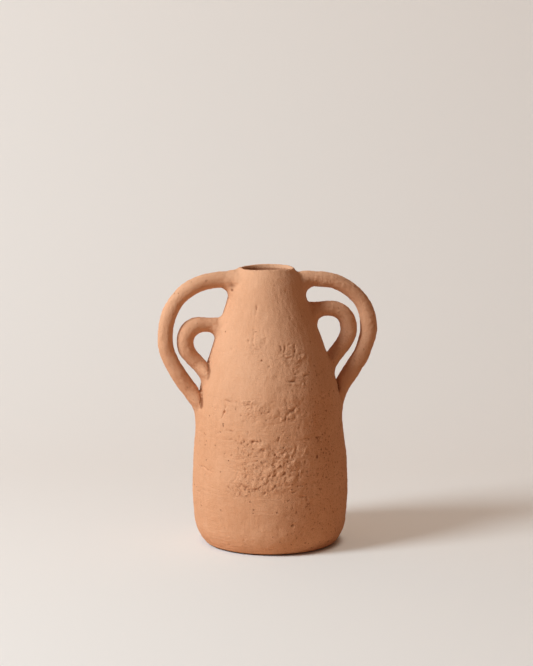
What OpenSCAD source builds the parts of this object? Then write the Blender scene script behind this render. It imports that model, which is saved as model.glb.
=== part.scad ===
// Hand-built terracotta amphora vase: a floor slab, six wall courses and a rim coil stacked
// on bevelled joints, with an outer and an inner loop handle luted to each side.
// Millimetres, +Z up, origin at the centre of the underside. The handles lie along X.

/* [Body] */
// Height of the vase
vase_h = 250; // [240:1:280]
// Outside radius at the top of the foot course, the widest place
belly_r = 70; // [66:0.5:80]

/* [Floor] */
// Thickness of the floor slab
floor_t = 8; // [6:0.5:12]
// Distance that the heel rounds in to the flat underside
heel_round = 10; // [5:0.5:16]
// Height where the heel stops rounding
heel_h = 20; // [14:1:34]
// Height and width of the coil pressed into the inside corner of the floor
corner_w = 9; // [6:0.5:12]
// Depth of the hollow that a finger leaves along that coil
corner_hollow = 1.5; // [0.5:0.5:2]

/* [Wall courses] */
// Thickness of the wall, square to its surface
wall_t = 6.5; // [5:0.5:9]
// Rise of the bevel on each joint between courses, from outside to inside
bevel_rise = 3.5; // [2:0.5:5]
// Height of the foot course
foot_course_h = 46; // [38:1:56]
// Distance that it widens from the heel to its top
heel_in = 2; // [0.5:0.5:5]
// Distance that the belly course leans in; it takes the height that the others leave
waist_in = 3.5; // [0.5:0.5:7]
// Height of the waist course
waist_course_h = 36; // [30:1:44]
// Distance that it leans in
shoulder_in = 4.5; // [1:0.5:9]
// Height of the shoulder course
shoulder_course_h = 38; // [32:1:46]
// Distance that it leans in
throat_in = 11.5; // [7:0.5:15]
// Height of the throat course
throat_course_h = 37; // [32:1:44]
// Distance that it leans in
neck_in = 13; // [9:0.5:16]
// Height of the neck course
neck_course_h = 25; // [20:1:32]
// Distance that it leans in
collar_in = 8; // [4:0.5:10]

/* [Rim] */
// Height of the rim coil
rim_h = 10; // [8:0.5:14]
// Distance that it leans in up to the top of the lip
lip_in = 5; // [1:0.5:7]
// Width of the lip at its top
lip_w = 4.5; // [3.5:0.5:8]
// Height of the lip's rounded top
lip_rise = 4.5; // [2:0.5:5]

/* [Outer handles] */
// Thickness of the outer handles
outer_d = 13.5; // [10:0.5:15]
// Depth of the left upper run's centreline below the lip
left_drop = 11; // [10.5:0.5:14]
// Depth of the right upper run's centreline below the lip
right_drop = 10.5; // [10.5:0.5:14]
// Length of the left upper run between its flare and its bend
left_run = 4; // [0.5:0.5:10]
// Length of the right upper run between its flare and its bend
right_run = 10; // [0.5:0.5:16]
// Depth of the left handle's knee, where it turns down the wall, below the shoulder course
left_knee_drop = 10.5; // [4:0.5:16]
// Depth of the right handle's knee below the shoulder course
right_knee_drop = 3; // [0:0.5:10]
// Height that an outer handle's tail runs down the wall below its knee
outer_tail = 28; // [20:1:34]

/* [Inner handles] */
// Thickness of the inner handles
inner_d = 13.5; // [10:0.5:15]
// Clear height between the left handles' upper runs
left_gap_h = 27; // [22:0.5:32]
// Clear height between the right handles' upper runs
right_gap_h = 14; // [8:0.5:18]
// Length of the left upper run between its flare and its bend
left_inner_run = 4.5; // [1:0.5:10]
// Length of the right upper run between its flare and its bend
right_inner_run = 9; // [1:0.5:14]
// Radius of the left handle's bend
left_bend_r = 17.5; // [15:0.5:21]
// Radius of the right handle's bend
right_bend_r = 16; // [14:0.5:20]
// Gap between an inner handle's bend and the outer handle beside it
loop_gap = 4.5; // [3:0.5:8]
// Rise of the left inner knee above the outer one
left_knee_rise = 27; // [24:0.5:32]
// Rise of the right inner knee above the outer one
right_knee_rise = 28; // [25:0.5:34]
// Height that an inner handle's tail runs down the wall below its knee
inner_tail = 15; // [12:0.5:18]

/* [Handle ends] */
// Width of the clay smeared out round each handle's upper end
root_flare = 7; // [3:0.5:9]
// Length over which the upper end flares into the wall
root_length = 9.5; // [6:0.5:11]
// Radius of the turn at a knee
knee_r = 36; // [24:1:44]
// Distance of a knee's centreline out from the wall
knee_stand = 1; // [0:0.5:3]

/* [Hidden] */

// Facets: sides of a turned surface, height of one step along an outline, steps over the lip
turned_fn = 144;
outline_step = 3;
lip_steps = 10;
// Facets of a handle: sides of a ring, degrees between rings on a turn, rings along a flare
handle_sides = 20;
turn_step = 9;
flare_steps = 5;
// Share of a flare's two legs that its curve follows before it turns, as on a quarter circle
flare_hold = 0.55;
// Share of a tail that the turn at its knee may take up
turn_share = 0.9;
// Depth that a handle's ends are carried below the wall's surface before they are trimmed to it
root_sink = 0.8;
tail_sink = 1.5;
// Height over which the wall's slope is taken
slope_span = 1;

outer_clay = "#d69a72";
inner_clay = "#cf9069";
light_clay = "#dba27b";

// Height left for the belly course
belly_course_h = vase_h - floor_t - foot_course_h - waist_course_h - shoulder_course_h
    - throat_course_h - neck_course_h - rim_h;

// Outside height of each joint, from the top of the floor slab to the foot of the rim coil
course_heights = [
    foot_course_h, belly_course_h, waist_course_h, shoulder_course_h, throat_course_h, neck_course_h
];
last_course = len(course_heights) - 1;
function joint_z(k) = k == 0 ? floor_t : joint_z(k - 1) + course_heights[k - 1];

rim_z = joint_z(last_course + 1);
lip_z = vase_h - lip_rise;
shoulder_z = joint_z(3);

// Outside radius at each place of the profile, all from the belly's, and the radius of the mouth
heel_r = belly_r - heel_in;
foot_r = heel_r - heel_round;
waist_r = belly_r - waist_in;
shoulder_r = waist_r - shoulder_in;
throat_r = shoulder_r - throat_in;
neck_r = throat_r - neck_in;
collar_r = neck_r - collar_in;
lip_r = collar_r - lip_in;
mouth_r = lip_r - lip_w;

// Outside profile: a smooth curve through these places, each a height and a radius
stations = [
    [0, foot_r],
    [heel_h, heel_r],
    [joint_z(1), belly_r],
    [joint_z(2), waist_r],
    [joint_z(3), shoulder_r],
    [joint_z(4), throat_r],
    [joint_z(5), neck_r],
    [rim_z, collar_r],
    [vase_h, lip_r]
];
last_station = len(stations) - 1;

// Slope of the straight line from one station to the next
chords = [
    for (i = [0:last_station - 1])
        (stations[i + 1][1] - stations[i][1]) / (stations[i + 1][0] - stations[i][0])
];

// Slope at a station between two others: zero at the belly, and never overshooting elsewhere
function mid_slope(i) =
    chords[i - 1] * chords[i] <= 0 ? 0 : 2 * chords[i - 1] * chords[i] / (chords[i - 1] + chords[i]);

// Slopes at all stations; the two end spans are parabolas
slopes = [
    for (i = [0:last_station])
        i == 0 ? 2 * chords[0] - mid_slope(1)
        : i == last_station ? 2 * chords[i - 1] - mid_slope(i - 1)
        : mid_slope(i)
];

function span_at(z, i = 0) = i >= last_station - 1 || z <= stations[i + 1][0] ? i : span_at(z, i + 1);

// Outside radius at height z
function body_r(z) =
    let (
        i = span_at(z),
        h = stations[i + 1][0] - stations[i][0],
        t = (z - stations[i][0]) / h
    )
    stations[i][1] * (1 - 3 * t * t + 2 * t * t * t)
    + stations[i + 1][1] * (3 * t * t - 2 * t * t * t)
    + h * slopes[i] * t * (1 - t) * (1 - t)
    - h * slopes[i + 1] * t * t * (1 - t);

// Inside radius at height z; the mouth is straight
function body_slope(z) = (body_r(z + slope_span / 2) - body_r(z - slope_span / 2)) / slope_span;
function cavity_r(z) = max(mouth_r, body_r(z) - wall_t * sqrt(1 + body_slope(z) * body_slope(z)));

// Points of the two faces of the wall from one height to another
function heights(low, high) =
    let (n = max(2, ceil((high - low) / outline_step)))
    [for (i = [0:n]) low + (high - low) * i / n];
function outside(low, high) = [for (z = heights(low, high)) [body_r(z), z]];
function inside(low, high) = [for (z = heights(low, high)) [cavity_r(z), z]];

function reversed(list) = [for (i = [len(list) - 1:-1:0]) list[i]];
function unit(v) = v / norm(v);

// Height of a joint's inner edge: bevelled everywhere but on the floor slab
function joint_inside(k) = joint_z(k) + (k == 0 ? 0 : bevel_rise);

// Rounded top of the lip, from outside to inside
lip_half = (body_r(lip_z) - mouth_r) / 2;
lip_arc = [
    for (i = [1:lip_steps - 1])
        let (a = 180 * i / lip_steps)
        [mouth_r + lip_half + lip_half * cos(a), lip_z + lip_rise * sin(a)]
];

module turned(outline) {
    rotate_extrude($fn = turned_fn) polygon(outline);
}

// Floor slab, with the heel's rounding on its edge
module base_slab() {
    color(inner_clay)
        turned(concat([[0, 0]], outside(0, floor_t), [[0, floor_t]]));
}

// Thin coil pressed into the corner between the floor and the foot course
module corner_coil() {
    wall_side = inside(floor_t, floor_t + corner_w);
    toe = [cavity_r(floor_t) - corner_w, floor_t];
    middle = (toe + [cavity_r(floor_t + corner_w), floor_t + corner_w]) / 2;
    color(inner_clay)
        turned(concat([toe], wall_side, [middle + unit([1, -1]) * corner_hollow]));
}

// Wall course number k, from its lower joint to its upper joint
module course(k, clay) {
    color(clay)
        turned(concat(
            outside(joint_z(k), joint_z(k + 1)),
            reversed(inside(joint_inside(k), joint_inside(k + 1)))
        ));
}

// Rim coil, rounded over the lip
module rim_coil() {
    seat = joint_inside(last_course + 1);
    color(light_clay)
        turned(concat(
            outside(rim_z, lip_z),
            lip_arc,
            [[mouth_r, lip_z], [cavity_r(seat), seat]]
        ));
}

// Everything inside the vase's outer surface, which trims the handles' ends to the wall
module wall_envelope() {
    turned(concat(
        [[0, 0]],
        outside(0, floor_t),
        [for (k = [0:last_course]) each outside(joint_z(k), joint_z(k + 1))],
        outside(rim_z, lip_z),
        lip_arc,
        [[mouth_r, lip_z], [0, lip_z]]
    ));
}

// Point near the wall at a handle's root: so far across and up from its centre, and out from the wall
function wall_point(root_z, across, up, out) =
    let (
        z = root_z + up,
        a = across / body_r(z) * 180 / PI
    )
    [(body_r(z) + out) * cos(a), (body_r(z) + out) * sin(a), z];

function bezier(a, b, c, d, t) =
    pow(1 - t, 3) * a + 3 * t * pow(1 - t, 2) * b + 3 * t * t * (1 - t) * c + pow(t, 3) * d;

// Ring of points round a place on the path, in the plane square to the path's direction
function ring(place, direction, radius) = [
    for (s = [0:handle_sides - 1])
        let (psi = 360 * s / handle_sides)
        [
            place[0] - direction[1] * radius * cos(psi),
            radius * sin(psi),
            place[1] + direction[0] * radius * cos(psi)
        ]
];

// Rings of the upper end, from just below the wall's surface out to where the section is round
function root_rings(root_z, radius, up, down) =
    let (
        round_ring = ring([body_r(root_z) + root_length, root_z], [1, 0], radius),
        held = 1 - flare_hold
    )
    [
        for (j = [0:flare_steps - 1])
            [
                for (s = [0:handle_sides - 1])
                    let (
                        psi = 360 * s / handle_sides,
                        spread = cos(psi) > 0 ? up : down,
                        foot = wall_point(root_z, (radius + root_flare) * sin(psi),
                            (radius + spread) * cos(psi), -root_sink),
                        turn_in = wall_point(root_z, (radius + held * root_flare) * sin(psi),
                            (radius + held * spread) * cos(psi), -root_sink),
                        turn_out = round_ring[s] - [flare_hold * (round_ring[s][0] - turn_in[0]), 0, 0]
                    )
                    bezier(foot, turn_in, turn_out, round_ring[s], j / flare_steps)
            ],
        round_ring
    ];

// Path of a handle after its flare, as places in the XZ plane: over the upper bend to the level of the
// lower bend's centre, round the lower bend, down the tail and into the wall
function handle_path(root_z, run, radius, centre, bend_r, knee_z, tail) =
    let (
        start_x = body_r(root_z) + root_length + run,
        over_w = centre[0] + bend_r - start_x,
        over_h = root_z - centre[1],
        knee = [body_r(knee_z) + knee_stand, knee_z],
        toe_z = knee_z - tail,
        toe = [body_r(toe_z) - radius - tail_sink, toe_z],
        to_knee = knee - centre,
        bend_end = atan2(to_knee[1], to_knee[0]) + acos(bend_r / norm(to_knee)),
        down = [sin(bend_end), -cos(bend_end)],
        along = unit(toe - knee),
        turn = acos(down * along),
        tail_length = sqrt(to_knee * to_knee - bend_r * bend_r),
        turn_r = min(knee_r, turn_share * min(tail_length, norm(toe - knee)) / tan(turn / 2)),
        turn_centre = knee - down * turn_r * tan(turn / 2) + turn_r * [-down[1], down[0]],
        over_n = ceil(90 / turn_step),
        under_n = ceil(-bend_end / turn_step),
        turn_n = max(2, ceil(turn / turn_step))
    )
    concat(
        [
            for (i = [0:over_n])
                let (a = 90 - 90 * i / over_n)
                [start_x + over_w * cos(a), centre[1] + over_h * sin(a)]
        ],
        [
            for (i = [1:under_n])
                let (a = bend_end * i / under_n)
                centre + bend_r * [cos(a), sin(a)]
        ],
        [
            for (i = [0:turn_n])
                let (a = bend_end + 180 + turn * i / turn_n)
                turn_centre + turn_r * [cos(a), sin(a)]
        ],
        [toe]
    );

// Closed skin over a stack of rings
module skin(rings) {
    n = len(rings[0]);
    last = len(rings) - 1;
    sides = [
        for (k = [0:last - 1], s = [0:n - 1])
            each [
                [k * n + s, k * n + (s + 1) % n, (k + 1) * n + s],
                [k * n + (s + 1) % n, (k + 1) * n + (s + 1) % n, (k + 1) * n + s]
            ]
    ];
    polyhedron(
        points = [for (r = rings) each r],
        faces = concat(
            [reversed([for (s = [0:n - 1]) s])],
            sides,
            [[for (s = [0:n - 1]) last * n + s]]
        )
    );
}

// Loop handle on the +X side, trimmed to the wall
module handle(root_z, run, thickness, centre, bend_r, knee_z, tail, up, down) {
    radius = thickness / 2;
    path = handle_path(root_z, run, radius, centre, bend_r, knee_z, tail);
    last = len(path) - 1;
    path_rings = [
        for (i = [0:last])
            let (
                back = i == 0 ? [1, 0] : unit(path[i] - path[i - 1]),
                ahead = i == last ? back : unit(path[i + 1] - path[i])
            )
            ring(path[i], unit(back + ahead), radius)
    ];
    difference() {
        skin(concat(root_rings(root_z, radius, up, down), path_rings));
        wall_envelope();
    }
}

// Both handles of a side turn about one centre, so that the outer one goes round the inner at an even gap
pitch = (outer_d + inner_d) / 2;
function inner_root(drop, gap_h) = vase_h - drop - pitch - gap_h;
function bend_centre(drop, gap_h, inner_run, bend_r) =
    let (root_z = inner_root(drop, gap_h))
    [body_r(root_z) + root_length + inner_run, root_z - bend_r];

module outer_handle(drop, run, gap_h, inner_run, bend_r, knee_drop) {
    root_z = vase_h - drop;
    // Room for the flare above the upper run, up to the lip, and below it, shared with the inner handle
    up = max(0, min(root_flare, lip_z - root_z - outer_d / 2));
    down = min(root_flare, gap_h / 2);
    color(outer_clay)
        handle(root_z, run, outer_d, bend_centre(drop, gap_h, inner_run, bend_r), bend_r + pitch + loop_gap,
            shoulder_z - knee_drop, outer_tail, up, down);
}

module inner_handle(drop, gap_h, run, bend_r, knee_drop, knee_rise) {
    color(light_clay)
        handle(inner_root(drop, gap_h), run, inner_d, bend_centre(drop, gap_h, run, bend_r), bend_r,
            shoulder_z - knee_drop + knee_rise, inner_tail, min(root_flare, gap_h / 2), root_flare);
}

module outer_handle_right() {
    outer_handle(right_drop, right_run, right_gap_h, right_inner_run, right_bend_r, right_knee_drop);
}

module outer_handle_left() {
    mirror([1, 0, 0])
        outer_handle(left_drop, left_run, left_gap_h, left_inner_run, left_bend_r, left_knee_drop);
}

module inner_handle_right() {
    inner_handle(right_drop, right_gap_h, right_inner_run, right_bend_r, right_knee_drop, right_knee_rise);
}

module inner_handle_left() {
    mirror([1, 0, 0])
        inner_handle(left_drop, left_gap_h, left_inner_run, left_bend_r, left_knee_drop, left_knee_rise);
}

base_slab();
corner_coil();
course(0, outer_clay);  // foot_course
course(1, light_clay);  // belly_course
course(2, outer_clay);  // waist_course
course(3, light_clay);  // shoulder_course
course(4, outer_clay);  // throat_course
course(5, light_clay);  // neck_course
rim_coil();
outer_handle_left();
outer_handle_right();
inner_handle_left();
inner_handle_right();
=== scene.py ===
import math
import bmesh
import bpy
import numpy as np
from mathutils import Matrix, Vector


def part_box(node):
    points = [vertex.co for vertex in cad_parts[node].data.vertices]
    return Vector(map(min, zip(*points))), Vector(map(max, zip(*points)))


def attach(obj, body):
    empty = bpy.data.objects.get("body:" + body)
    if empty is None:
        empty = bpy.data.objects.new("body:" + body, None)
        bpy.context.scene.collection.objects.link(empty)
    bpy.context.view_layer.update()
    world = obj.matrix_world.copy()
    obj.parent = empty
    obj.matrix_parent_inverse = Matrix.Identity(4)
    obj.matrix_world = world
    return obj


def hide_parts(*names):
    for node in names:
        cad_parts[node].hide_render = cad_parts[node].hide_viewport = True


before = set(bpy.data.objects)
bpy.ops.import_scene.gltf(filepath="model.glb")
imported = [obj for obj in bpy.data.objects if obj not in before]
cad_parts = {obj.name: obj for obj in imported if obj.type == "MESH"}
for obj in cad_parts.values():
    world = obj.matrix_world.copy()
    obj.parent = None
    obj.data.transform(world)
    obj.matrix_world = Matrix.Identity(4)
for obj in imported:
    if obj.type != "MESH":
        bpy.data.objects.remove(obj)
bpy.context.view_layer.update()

# The clay is modelled in millimetres, upright, and goes to metres with the vase's lean at the very end
mm = 0.001

view = {
    "turn": 10,  # degrees that the camera stands to the left of the vase's front
    "distance": 2.29, "height": 0.575, "across": -0.0035, "lookDown": 9.54, "lens": 140.2, "sensor": 36,
}
turnCos, turnSin = math.cos(math.radians(view["turn"])), math.sin(math.radians(view["turn"]))

body = {
    "lean": -0.0133,  # drift of the axis to the left, per unit of height
    "bows": [(75, 0.45, 45), (160, 0.7, 32)],  # height, shift to the right, reach
    "cell": 0.8,  # side of a cell of the skin
    "courses": ["foot_course", "belly_course", "waist_course", "shoulder_course", "throat_course",
                "neck_course"],
    "turnSteps": 180,  # facets round the inside and the joints
    "skinLift": 2.6,  # how far out from the wall a handle is cut off
}


# Noise and small helpers

def latticeHash(ix, iy, iz, seed):
    h = ix * 73856093 ^ iy * 19349663 ^ iz * 83492791 ^ seed * 40503
    h = (h ^ (h >> 13)) * 1274126177 & 0x7FFFFFFFFFFF
    return h ^ (h >> 16)


def clayNoise(points, size, seed):
    spot = points / size + seed * 13.7  # gradient noise, about -1 to 1, lumps of the given size
    base = np.floor(spot).astype(np.int64)
    part = spot - base
    fade = part ** 3 * (part * (part * 6 - 15) + 10)
    total = np.zeros(len(points))
    for corner in range(8):
        step = np.array([corner & 1, corner >> 1 & 1, corner >> 2 & 1])
        h = latticeHash(*(base + step).T, seed)
        away = part - step
        slope = sum(((h >> 10 * k & 1023) / 511.5 - 1) * away[:, k] for k in range(3))
        total += slope * np.prod(np.where(step, fade, 1 - fade), axis=1)
    return total * 1.5


def waves(points, rows):
    return sum(height * clayNoise(points, size, seed) for size, height, seed in rows)


def ramp(value, low, high):
    t = np.clip((value - low) / (high - low), 0, 1)
    return t * t * (3 - 2 * t)


def bump(value, width):
    return np.exp(-(value / width) ** 2)


def frontAngle(points):
    return np.degrees(np.arctan2(points[:, 0], -points[:, 1])) + view["turn"]  # 0 towards the camera


def meshPoints(mesh):
    flat = np.empty(len(mesh.vertices) * 3, np.float32)
    mesh.vertices.foreach_get("co", flat)
    return flat.reshape(-1, 3).astype(float)


def setMeshPoints(mesh, points):
    mesh.vertices.foreach_set("co", points.astype(np.float32).ravel())
    mesh.update()


def placed(name, data):
    made = bpy.data.objects.new(name, data)
    bpy.context.scene.collection.objects.link(made)
    return made


def newObject(name, points, faces):
    mesh = bpy.data.meshes.new(name)
    mesh.from_pydata([tuple(p) for p in points], [], faces)
    mesh.update()
    return placed(name, mesh)


def dropObject(thing):
    mesh = thing.data
    bpy.data.objects.remove(thing)
    bpy.data.meshes.remove(mesh)


def turnedObject(name, outline, steps, lift=None):
    outline = np.array(outline)  # closed outline in radius and height, first and last on the axis
    angles = np.arange(steps) * 2 * math.pi / steps
    rings = outline[1:-1]
    points = np.stack([np.outer(rings[:, 0], np.sin(angles)), np.outer(rings[:, 0], -np.cos(angles)),
                       np.repeat(rings[:, 1:], steps, axis=1)], axis=-1).reshape(-1, 3)
    if lift is not None:
        points[:, 2] += lift(points)
    low, high = len(points), len(points) + 1
    points = np.vstack([points, [0, 0, outline[0, 1]], [0, 0, outline[-1, 1]]])
    last = (len(rings) - 1) * steps
    faces = []
    for s in range(steps):
        t = (s + 1) % steps
        faces.append((low, t, s))
        faces += [(k + s, k + t, k + steps + t, k + steps + s) for k in range(0, last, steps)]
        faces.append((last + s, last + t, high))
    return newObject(name, points, faces)


def ringObject(name, outline, steps, lift=None):
    outline = np.array(outline)  # closed outline in radius and height, clear of the axis
    angles = np.arange(steps) * 2 * math.pi / steps
    count = len(outline)
    points = np.stack([np.outer(np.sin(angles), outline[:, 0]), np.outer(-np.cos(angles), outline[:, 0]),
                       np.tile(outline[:, 1], (steps, 1))], axis=-1).reshape(-1, 3)
    if lift is not None:
        points[:, 2] += lift(points)
    faces = []
    for s in range(steps):
        t = (s + 1) % steps
        for k in range(count):
            n = (k + 1) % count
            faces.append((s * count + k, t * count + k, t * count + n, s * count + n))
    return newObject(name, points, faces)


# Profiles of the wall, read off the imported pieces

def facingRows(names, low, high):
    for name in names:  # height and radius at the corners of the faces that look out or in
        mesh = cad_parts[name].data
        for face in mesh.polygons:
            out = Vector((face.center.x, face.center.y, 0)).normalized()
            if low < face.normal.dot(out) < high:
                for index in face.vertices:
                    place = mesh.vertices[index].co / mm
                    yield round(place.z, 1), math.hypot(place.x, place.y)


def wallProfile():
    rows = {}
    for height, radius in facingRows(["base_slab"] + body["courses"] + ["rim_coil"], 0.6, 2):
        rows[height] = max(rows.get(height, 0), radius)
    heights = np.array(sorted(z for z in rows if z < rim["bevelFoot"]))
    return heights, np.array([rows[z] for z in heights])


rim = {
    "bevelFoot": 244.6,  # height where the outside turns in to the lip
    "lip": [(24.9, 248.6), (24.3, 249.5), (23.5, 250.0), (22.7, 249.7), (22.2, 248.9)],
    "mouth": [(21.6, 246.5), (21.2, 243.0), (21.2, 236.0)],  # inside, down into the neck
    "front": -0.5, "sides": 0.8, "back": 1.1,  # how far the lip sags there
    "sagFrom": (232, 247), "sagReach": (26, 34),  # heights where it sets in, distances where it ends
}
foot = {"edge": 1.7, "undercut": 4.4}  # where the wall meets the underside

profileHeights, profileRadii = wallProfile()
profileSlopes = np.gradient(profileRadii, profileHeights)


def wallRadius(z):
    z = np.clip(z, profileHeights[0], profileHeights[-1])
    i = np.clip(np.searchsorted(profileHeights, z) - 1, 0, len(profileHeights) - 2)
    span = profileHeights[i + 1] - profileHeights[i]
    t = (z - profileHeights[i]) / span
    return (profileRadii[i] * (1 + 2 * t) * (1 - t) ** 2 + profileRadii[i + 1] * t * t * (3 - 2 * t)
            + span * t * (1 - t) * (profileSlopes[i] * (1 - t) - profileSlopes[i + 1] * t))


def radiusAt(z):
    return wallRadius(np.array([z]))[0]


def wallOutline():
    edge, cut = foot["edge"], foot["undercut"]
    low = radiusAt(edge)
    heights = np.arange(edge, rim["bevelFoot"], 1.5)
    side = list(zip(wallRadius(heights), heights))
    heel = [(0, 0), (low - cut, 0), (low - 0.3 * cut, 0.55 * edge)]
    return heel + side + rim["lip"] + rim["mouth"] + [(0, rim["mouth"][-1][1])]


# Handles as the camera sees them. Route: out from the axis, up, the coil's thickness there
# Smears: clay rounded into the wall at a place, its radius, its reach

outerLeft = {
    "node": "outer_handle_left", "side": -1,
    "route": [(25, 238.6, 10), (33, 238.5, 14.4), (43.5, 238.3, 14.4), (56, 235.9, 13.7),
              (67.5, 230.9, 13.6), (78.3, 222.4, 13.4), (86.4, 210.2, 13.5), (90.8, 196.5, 13.4),
              (92, 184, 13.3), (90.6, 172.5, 13.6), (86, 161.3, 14), (78.1, 148.4, 14.3),
              (69.3, 136, 14.2), (63.3, 126.5, 13.4), (59.8, 115, 12.4), (57, 101, 11)],
    "smears": [(32.5, 247.5, 11, 10), (39, 228, 11, 10), (69, 112, 4, 10)],
    "flares": [(60, 122, 0.6, 12)],  # pressed wide at a place: how much a step sideways counts, reach
    "cracks": [(143, 124, 0.8, 0.5)],  # down the crease, pressed in and darkened with painted shade: from, to, depth, shift onto the wall
}
outerRight = {
    "node": "outer_handle_right", "side": 1,
    "route": [(25, 239.4, 10), (33, 239.4, 14.4), (44, 239.3, 14.4), (52, 238.8, 14.1),
              (60, 237.1, 13.4), (69.4, 232.7, 13.5), (78, 226.2, 13.4), (85, 217.7, 13.8),
              (89.2, 207.2, 14.6), (90.3, 196, 14.8), (88.6, 186, 14.8), (83, 170.8, 14.7),
              (77.8, 162.3, 14.9), (72.4, 154, 15), (66.8, 145, 14.6), (62.4, 135, 13.6),
              (59.4, 123, 12.6), (57.4, 109, 11.2)],
    "smears": [(31, 247, 4, 8), (40, 230, 10.5, 10), (69, 120, 4.5, 10)],
    "flares": [(60, 130, 0.65, 12)],
    "cracks": [(156, 134, 1.1, 0.4)],
}
innerLeft = {
    "node": "inner_handle_left", "side": -1,
    "route": [(36, 197.6, 13.4), (52, 197.6, 12.6), (58, 197.7, 13), (63.6, 197, 14.3), (67.8, 195, 15),
              (71.4, 191.6, 15.1), (73.8, 186, 15.1), (74.2, 180, 15.1), (72.8, 174, 14.9),
              (69.8, 169.6, 14.3), (65.3, 164.4, 14.1), (60.5, 158.9, 13.9), (56.4, 153, 13.4),
              (53.8, 146, 12.4), (52, 138, 11)],
    "smears": [(46, 205, 4.5, 7), (52, 188, 9.5, 8), (63, 148, 3, 6)],
    "flares": [(55, 151, 0.52, 9)],
    "cracks": [(171, 157, 0.7, 0.5), (158, 149, 0.3, 0.5)],
}
innerRight = {
    "node": "inner_handle_right", "side": 1,
    "route": [(30, 211.4, 13.4), (46, 211.8, 13), (56.5, 212.5, 13.8), (63.1, 210.9, 14.6),
              (68.1, 207.3, 14.9), (71.2, 202, 15.1), (72.2, 196, 15.2), (71.7, 190, 15.2),
              (68.3, 182.4, 14.5), (61.8, 173.8, 13.9), (56.8, 167, 13.2), (53.2, 159.5, 12.4),
              (51, 150, 11)],
    "smears": [(41, 219, 2, 6), (50, 202, 11.5, 9), (52, 172, 2.4, 6), (62, 158, 2.5, 6)],
    "flares": [(54, 162, 0.6, 9)],
    "cracks": [],
}
handles = [outerLeft, outerRight, innerLeft, innerRight]
mapStep = 0.5  # between places of the flat maps and of the routes
plainSmear = 0.9  # rounding of the smear where none is listed
handleStart = 12  # nearer to the axis there is no handle


def smoothRoute(points):
    points = np.array(points, float)  # Catmull-Rom through the listed places
    ends = np.vstack([2 * points[0] - points[1], points, 2 * points[-1] - points[-2]])
    made = []
    for i in range(1, len(ends) - 2):
        a, b, c, d = ends[i - 1:i + 3]
        count = max(2, int(np.linalg.norm(c[:2] - b[:2]) / mapStep))
        t = (np.arange(count) / count)[:, None]
        made.append(0.5 * (2 * b + (c - a) * t + (2 * a - 5 * b + 4 * c - d) * t ** 2
                           + (3 * b - 3 * c + d - a) * t ** 3))
    return np.vstack(made + [points[-1:]])


def unturned(rows, side):
    rows = np.array(rows, float)  # from what the camera sees to the handles' own plane
    nearer = -side * rows[:, 0] * turnSin / turnCos * mm
    rows[:, 1] += nearer * (view["height"] / mm - rows[:, 1]) / view["distance"]
    rows[:, 0] *= (1 - nearer / view["distance"]) / turnCos
    return rows


# Flat maps of distance, looked up for every point of the skin

def newMap(low, high):
    a = np.arange(low[0], high[0] + mapStep, mapStep)
    b = np.arange(low[1], high[1] + mapStep, mapStep)
    return {"low": low, "a": a[:, None], "b": b[None, :]}


def lookUp(flatMap, layer, a, b):
    table = flatMap[layer]
    fa = np.clip((a - flatMap["low"][0]) / mapStep, 0, table.shape[0] - 1.001)
    fb = np.clip((b - flatMap["low"][1]) / mapStep, 0, table.shape[1] - 1.001)
    ia, ib = fa.astype(int), fb.astype(int)
    fa, fb = fa - ia, fb - ib
    return ((table[ia, ib] * (1 - fa) + table[ia + 1, ib] * fa) * (1 - fb)
            + (table[ia, ib + 1] * (1 - fa) + table[ia + 1, ib + 1] * fa) * fb)


def wallMap(outline):
    flatMap = newMap((0, -8), (110, 260))
    a, b = flatMap["a"], flatMap["b"]
    nearest = np.full((a.shape[0], b.shape[1]), 1e9)
    inside = np.zeros(nearest.shape, bool)
    for (a0, b0), (a1, b1) in zip(outline[:-1], outline[1:]):
        da, db = a1 - a0, b1 - b0
        t = np.clip(((a - a0) * da + (b - b0) * db) / (da * da + db * db), 0, 1)
        nearest = np.minimum(nearest, (a - a0 - t * da) ** 2 + (b - b0 - t * db) ** 2)
        crosses = (b0 > b) != (b1 > b)
        if b1 != b0:
            inside ^= crosses & (a < a0 + (b - b0) / (b1 - b0) * da)
    flatMap["gap"] = np.sqrt(nearest) * np.where(inside, -1, 1)
    return flatMap


def handleMap(handle):
    path = handle["path"]
    flatMap = newMap((10, path[:, 1].min() - 25), (112, 262))
    a, b = flatMap["a"], flatMap["b"]
    nearest = np.full((a.shape[0], b.shape[1]), 1e9)
    owner = np.zeros(nearest.shape, int)
    for i, (px, pz, _) in enumerate(path):
        gap = (a - px) ** 2 + (b - pz) ** 2
        closer = gap < nearest
        nearest[closer] = gap[closer]
        owner[closer] = i
    flatMap["gap"] = np.sqrt(nearest)
    flatMap["radius"] = path[owner, 2] / 2
    smear = np.full(nearest.shape, plainSmear)
    for px, pz, radius, reach in unturned(handle["smears"], handle["side"]):
        share = 1 - ramp(np.hypot(a - px, b - pz), reach, 2 * reach)
        smear = np.maximum(smear, plainSmear + (radius - plainSmear) * share)
    flatMap["smear"] = smear
    squeeze = np.ones(nearest.shape)
    for px, pz, left, reach in unturned(handle["flares"], handle["side"]):
        squeeze -= (1 - left) * (1 - ramp(np.hypot(a - px, b - pz), 0.5 * reach, 2 * reach))
    flatMap["squeeze"] = squeeze
    return flatMap


outline = wallOutline()
wall = wallMap(outline)
for handle in handles:
    handle["path"] = smoothRoute(unturned(handle["route"], handle["side"]))
    handle["map"] = handleMap(handle)
print("outline and handle routes ready")


def handleGap(handle, points):
    across = points[:, 0] * handle["side"]
    flat = lookUp(handle["map"], "gap", across, points[:, 2])
    side = points[:, 1] * lookUp(handle["map"], "squeeze", across, points[:, 2])
    return np.hypot(flat, side) - lookUp(handle["map"], "radius", across, points[:, 2])


def wallGap(points):
    return lookUp(wall, "gap", np.hypot(points[:, 0], points[:, 1]), points[:, 2])


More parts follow.
